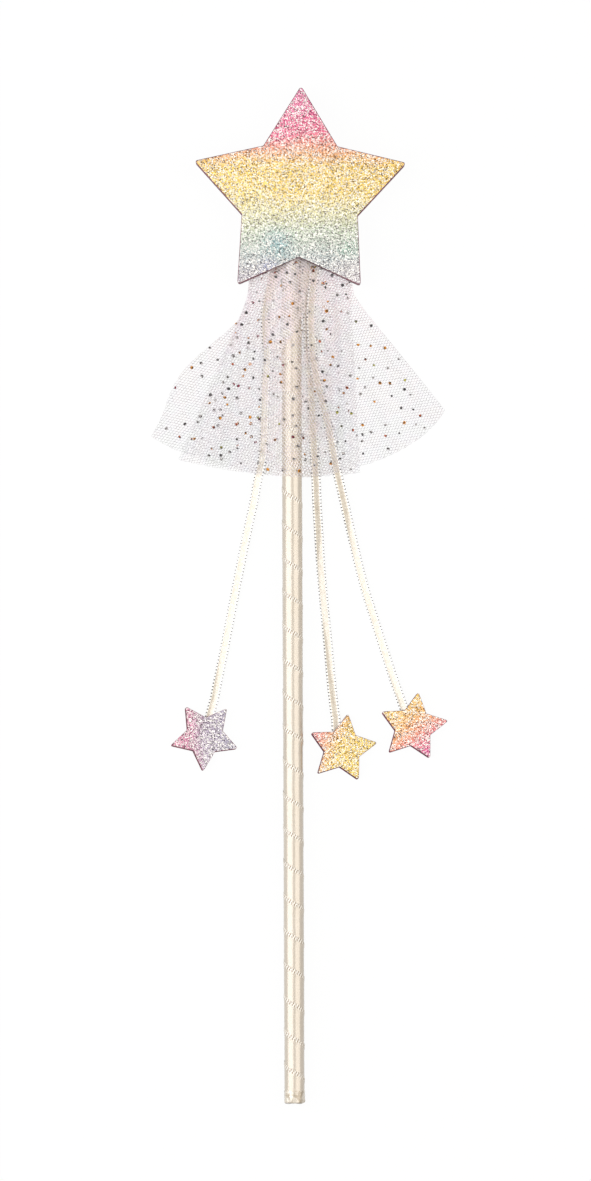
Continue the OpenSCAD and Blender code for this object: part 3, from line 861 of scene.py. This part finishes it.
threadPlan = {
    "rough": 0.5, "sheen": {"Sheen_Weight": 0.4, "Sheen_Roughness": 0.4}, "passed": 0.92,
    # the threads over the stick are painted whiter as painted light, in a band with its middle and reach
    # given here
    "fade": (notchY - 0.062, notchY - 0.008), "paintedLightAt": 0.001, "paintedLightOverStick": (0.005, 0.014, 0.8, 0.0),
    "knotCloud": (1700.0, 1.0), "knots": (0.50, 0.62, 0.0, 0.6), "bump": 0.4, "bumpDepth": 0.00002,
    "glintCloud": (170.0, 1.0), "glintShare": 0.22,
    "glints": [(0.36, 226, 240, 228), (0.46, 222, 228, 246), (0.54, 248, 222, 236),
               (0.64, 240, 230, 222)],
    "plain": {
        "stops": [(0.0, 226, 225, 228), (0.55, 228, 222, 226), (1.0, 236, 217, 222)],
        "paintedLightOverStick": srgb(246, 236, 234), "knot": srgb(176, 170, 176),
    },
    "twist": {
        "stops": [(0.0, 170, 168, 174), (0.55, 172, 164, 170), (1.0, 182, 160, 168)],
        "paintedLightOverStick": srgb(216, 202, 200), "knot": srgb(128, 122, 128),
    },
}


def tulleFinish(name, look):
    plan = threadPlan
    finish, tree, shader = newFinish(name, plan["rough"], **plan["sheen"])
    place = objectPlace(tree)
    right, up, _ = addNode(tree, "SeparateXYZ", Vector=place).outputs
    colour = rampNode(tree, rangeNode(tree, up, *plan["fade"], kind="LINEAR"), look["stops"])
    # painted light: over the stick, where the gathers lie closer, the threads are painted whiter
    aside = mathNode(tree, "ABSOLUTE", mathNode(tree, "SUBTRACT", right, plan["paintedLightAt"]))
    colour = mixColour(tree, rangeNode(tree, aside, *plan["paintedLightOverStick"]), colour, look["paintedLightOverStick"])
    # faint pink, blue and green glints in patches
    glint = rampNode(tree, noiseNode(tree, place, *plan["glintCloud"]), plan["glints"])
    colour = mixColour(tree, plan["glintShare"], colour, glint)
    cloud = noiseNode(tree, place, *plan["knotCloud"])
    colour = mixColour(tree, rangeNode(tree, cloud, *plan["knots"]), colour, look["knot"])
    paint(tree, shader, colour, Normal=bumpNode(tree, cloud, plan["bump"], plan["bumpDepth"]))
    # thin nylon passes most of the light on, so its own shadow is faint
    clear = addNode(tree, "BsdfTransparent").outputs[0]
    shadow = times(tree, addNode(tree, "LightPath").outputs["Is Shadow Ray"], plan["passed"])
    mixSurfaces(tree, shadow, shader.outputs[0], clear)
    return finish


netThreads = [tulleFinish(f"{kind}Thread", threadPlan[kind]) for kind in ("plain", "twist")]


def inFold(ply, x, drop):
    left, right = (np.array(ply[edge]).T * mm for edge in ("left", "right"))
    if not left[0][0] <= drop <= left[0][-1]:
        return False
    return np.interp(drop, *left) <= x <= np.interp(drop, *right)


def netCells(layer, ply, lift):
    # six-sided cells over the layer, or over one fold of it
    plan, points, faces, found = tullePlan, [], [], {}
    pitch, rowStep = plan["mesh"], plan["mesh"] * sqrt(3) / 2
    corner = pitch / sqrt(3)
    reach = int(plan["span"] / pitch)

    def laid(u, v):
        u, v = turned(u, v, radians(ply["grain"]))
        return plan["shift"] + u, notchY - plan["length"] / 2 + v

    for j in range(-reach, reach + 1):
        for i in range(-reach, reach + 1):
            u, v = pitch * (i + (j % 2) / 2), rowStep * j
            x, y = laid(u, v)
            across, drop, hem, _ = skirtPlace(layer, x, y)
            if abs(across) > plan["sideSpare"] or not -plan["tuck"] <= drop <= hem + plan["hemSpare"]:
                continue
            if "left" in ply and not inFold(ply, x, drop):
                continue
            turns = [radians(30 + 60 * k) for k in range(6)]
            flat = [laid(u + corner * cos(a), v + corner * sin(a)) for a in turns]
            ring = [onSkirt(layer, *p) for p in flat]
            area = abs(sum(p[0] * q[1] - q[0] * p[1] for p, q in zip(ring, ring[1:] + ring[:1]))) / 2
            if area < plan["leastCell"] * pitch * rowStep:
                continue
            face = []
            for x, y, z in ring:
                key = (round(x * plan["weldSteps"]), round(y * plan["weldSteps"]))
                if key not in found:
                    found[key] = len(points)
                    points.append((x, y, z + lift))
                face.append(found[key])
            face = tuple(dict.fromkeys(face))
            if len(face) > 3:
                faces.append(face)
    return points, faces


def netPiece(name, layer, plies, lift):
    # the cells' rims become threads: every third side is twisted and darker
    net = None
    for ply in plies:
        part = newPiece(name, *netCells(layer, ply, lift), *netThreads)
        rim = ply.get("thread", tullePlan["thread"]) / 2
        editWhole(part, (bpy.ops.mesh.select_mode, {"type": "FACE"}),
                  (bpy.ops.mesh.inset, {"thickness": rim, "use_individual": True}),
                  (bpy.ops.mesh.delete, {"type": "FACE"}))
        spots = [v.co for v in part.data.vertices]
        for face in part.data.polygons:
            run = max((spots[b] - spots[a] for a, b in face.edge_keys), key=lambda side: side.length)
            turn = degrees(atan2(run.y, run.x)) - ply["grain"] - tullePlan["twist"]
            face.material_index = int(abs((turn + 90) % 180 - 90) < tullePlan["twistWithin"])
        if net:
            pickOnly(net)
            part.select_set(True)
            bpy.ops.object.join()
        else:
            net = part
    applyModifier(net, "SOLIDIFY", thickness=tullePlan["thick"], offset=0.0)
    return net


dotPlan = {
    "size": (0.00040, 0.00066), "stretch": (0.7, 1.0), "thick": 0.00005, "tilt": 16.0, "corners": 6,
    "gap": 0.0027, "gapShare": (0.6, 1.2), "across": (-0.048, 0.052), "drop": (0.002, 0.073),
    "sideRoom": 0.985, "hemRoom": 0.0006, "rough": 0.32, "metal": 0.3,
    # the dark patches on each dot are painted shade for a shadow side
    "cloud": (1500.0, 1.0), "paintedShadeSide": (0.44, 0.56, 0.0, 0.9), "paintedShadeSideTint": srgb(22, 18, 18),
    "tints": [(0.40, 172, 166, 166), (0.54, 92, 86, 88), (0.79, 206, 134, 34),
              (0.88, 178, 82, 36), (0.96, 152, 146, 48), (1.0, 140, 24, 56)],
    "front": {
        "count": 165, "seed": 21, "lift": 0.00028,
        "clusters": [(0.0013, 0.0019), (0.0076, 0.0034), (-0.0050, 0.0042), (0.0110, 0.0089),
                     (-0.0027, 0.0098)],
    },
    "back": {"count": 105, "seed": 35, "lift": 0.0, "clusters": []},
    "clusterSize": (0.00022, 0.00036), "clusterReach": 0.0010, "clusterDots": 7,
}


def foilFinish():
    finish, tree, shader = newFinish("foilDots", dotPlan["rough"], Metallic=dotPlan["metal"])
    tint = addNode(tree, "Attribute", {"attribute_name": "foil"}).outputs["Color"]
    cloud = noiseNode(tree, objectPlace(tree), *dotPlan["cloud"])
    # painted shade: part of each dot darkened, as its shadow side
    paintedShadeSide = rangeNode(tree, cloud, *dotPlan["paintedShadeSide"])
    paint(tree, shader, mixColour(tree, paintedShadeSide, tint, dotPlan["paintedShadeSideTint"]))
    return finish


foilDots = foilFinish()


def skirtDots(name, where, layer):
    # small foil dots stuck to the net, as thin six-sided plates
    plan, own, corners = dotPlan, dotPlan[where], dotPlan["corners"]
    dice = random.Random(own["seed"])
    points, faces, tints, taken, wanted = [], [], [], [], []
    while len(taken) < own["count"]:
        x, y = dice.uniform(*plan["across"]), notchY - dice.uniform(*plan["drop"])
        across, drop, hem, _ = skirtPlace(layer, x, y)
        if abs(across) > plan["sideRoom"] or drop > hem - plan["hemRoom"]:
            continue
        if any(hypot(x - a, y - b) < plan["gap"] * dice.uniform(*plan["gapShare"]) for a, b in taken):
            continue
        taken.append((x, y))
        wanted.append((x, y, dice.uniform(*plan["size"])))
    for x, drop in own["clusters"]:
        for _ in range(plan["clusterDots"]):
            heading, reach = dice.uniform(0, fullTurn), plan["clusterReach"] * sqrt(dice.random())
            wanted.append((x + reach * cos(heading), notchY - drop + reach * sin(heading),
                           dice.uniform(*plan["clusterSize"])))
    for x, y, size in wanted:
        across, drop, _, _ = skirtPlace(layer, x, y)
        z = skirtLevel(layer, x, across, drop) + tullePlan["thick"] / 2 + own["lift"]
        chance = dice.random()
        tint = next(srgb(*colour) for limit, *colour in plan["tints"] if chance <= limit)
        lean, heading = radians(dice.uniform(0, plan["tilt"])), dice.uniform(0, fullTurn)
        stretch = dice.uniform(*plan["stretch"])
        low = range(len(points), len(points) + corners)
        high = range(low.stop, low.stop + corners)
        for level in (0.0, plan["thick"]):
            for k in range(corners):
                a = fullTurn * k / corners
                u, v = size * cos(a), size * stretch * sin(a)
                right, up = turned(u, v, heading)
                points.append((x + right, y + up, z + level + (v + size) * tan(lean) / 2))
        faces += [tuple(low[::-1]), tuple(high)]
        faces += [(low[k], low[(k + 1) % corners], high[(k + 1) % corners], high[k]) for k in range(corners)]
        tints += [tint] * (corners + 2)
    obj = newPiece(name, points, faces, foilDots)
    attribute = obj.data.attributes.new("foil", "FLOAT_COLOR", "FACE")
    attribute.data.foreach_set("color", np.array(tints, np.float32).ravel())
    return obj


for where in ("front", "back"):
    layer = tullePlan[where]
    net = netPiece(f"skirt_{where}_net", layer, [{"grain": layer["grain"]}], 0.0)
    extras = [skirtDots(f"skirt_{where}_dots", where, layer)]
    if layer["plies"]:
        extras.append(netPiece(f"skirt_{where}_gathers", layer, layer["plies"], tullePlan["gatherLift"]))
    for piece in (net, *extras):
        dress(piece, "wand", "tulle")
        print(piece.name, len(piece.data.polygons), "faces")
    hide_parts(f"skirt_{where}")


# the dowel inside
woodPlan = {"rough": 0.6, "stretch": (900.0, 40.0, 900.0), "cloud": (1.0, 5.0),
            "grain": [(0.3, 196, 160, 112), (0.7, 226, 198, 152)]}


def woodFinish():
    finish, tree, shader = newFinish("paleWood", woodPlan["rough"])
    long = addNode(tree, "Mapping", Vector=objectPlace(tree), Scale=woodPlan["stretch"]).outputs[0]
    paint(tree, shader, rampNode(tree, noiseNode(tree, long, *woodPlan["cloud"]), woodPlan["grain"]))
    return finish


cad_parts["dowel"].data.materials.clear()
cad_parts["dowel"].data.materials.append(woodFinish())


# floor and light
stagePlan = {
    "size": 6.0, "footY": -0.002, "footZ": -0.00347, "starY": 0.2683, "starZ": -0.005, "drop": 0.00005,
    "white": 1.05, "share": 0.92, "floor": (0.45, 0.45, 0.45, 1.0), "world": 0.20,
}


def whiteSight(tree):
    # 1 for rays that show the white backdrop, 0 for rays that light the wand
    path = addNode(tree, "LightPath").outputs
    seen = mathNode(tree, "MAXIMUM", path["Is Camera Ray"], path["Is Glossy Ray"])
    return mathNode(tree, "MAXIMUM", seen, path["Is Transmission Ray"])


def makeStage():
    plan = stagePlan
    slope = (plan["starZ"] - plan["footZ"]) / (plan["starY"] - plan["footY"])
    bpy.ops.object.select_all(action="DESELECT")
    bpy.ops.mesh.primitive_plane_add(size=plan["size"], rotation=(atan(slope), 0, 0),
                                     location=(0, plan["footY"], plan["footZ"] - plan["drop"]))
    ground = bpy.context.object
    ground.name = "floor"
    finish = bpy.data.materials.new("paleFloor")
    finish.use_nodes = True
    tree = finish.node_tree
    tree.nodes.remove(tree.nodes["Principled BSDF"])
    plain = addNode(tree, "BsdfDiffuse", Color=plan["floor"]).outputs[0]
    lit = addNode(tree, "Emission", Color=(1, 1, 1, 1), Strength=plan["white"]).outputs[0]
    factor = times(tree, whiteSight(tree), plan["share"])
    mixSurfaces(tree, factor, plain, lit)
    ground.data.materials.append(finish)
    world = bpy.data.worlds.new("studio")
    bpy.context.scene.world = world
    world.use_nodes = True
    tree = world.node_tree
    sky = tree.nodes["Background"].inputs
    feed(tree, sky["Color"], (1, 1, 1, 1))
    feed(tree, sky["Strength"], rangeNode(tree, whiteSight(tree), 0.0, 1.0, plan["world"], 1.0, "LINEAR"))


lampPlan = {
    "left": {"angle": -45.0, "far": 1.1, "size": (1.44, 1.1), "watts": 12.7, "tint": (1.0, 1.0, 1.0)},
    "right": {"angle": 42.0, "far": 1.1, "size": (1.1, 1.1), "watts": 7.6, "tint": (1.0, 0.95, 0.87)},
}
lampAim = Vector((0, 0.17, 0))


def makeLamps():
    for name, plan in lampPlan.items():
        data = bpy.data.lights.new(name + "_box", "AREA")
        data.shape = "RECTANGLE"
        data.size, data.size_y = plan["size"]
        data.energy = plan["watts"]
        data.color = plan["tint"]
        lamp = bpy.data.objects.new(name + "_box", data)
        angle = radians(plan["angle"])
        lamp.location = lampAim + Vector((sin(angle), 0, cos(angle))) * plan["far"]
        lamp.rotation_euler = (0, angle, 0)
        addToScene(lamp)


makeStage()
makeLamps()
bpy.context.scene.view_settings.view_transform = "Standard"
print("stage set")
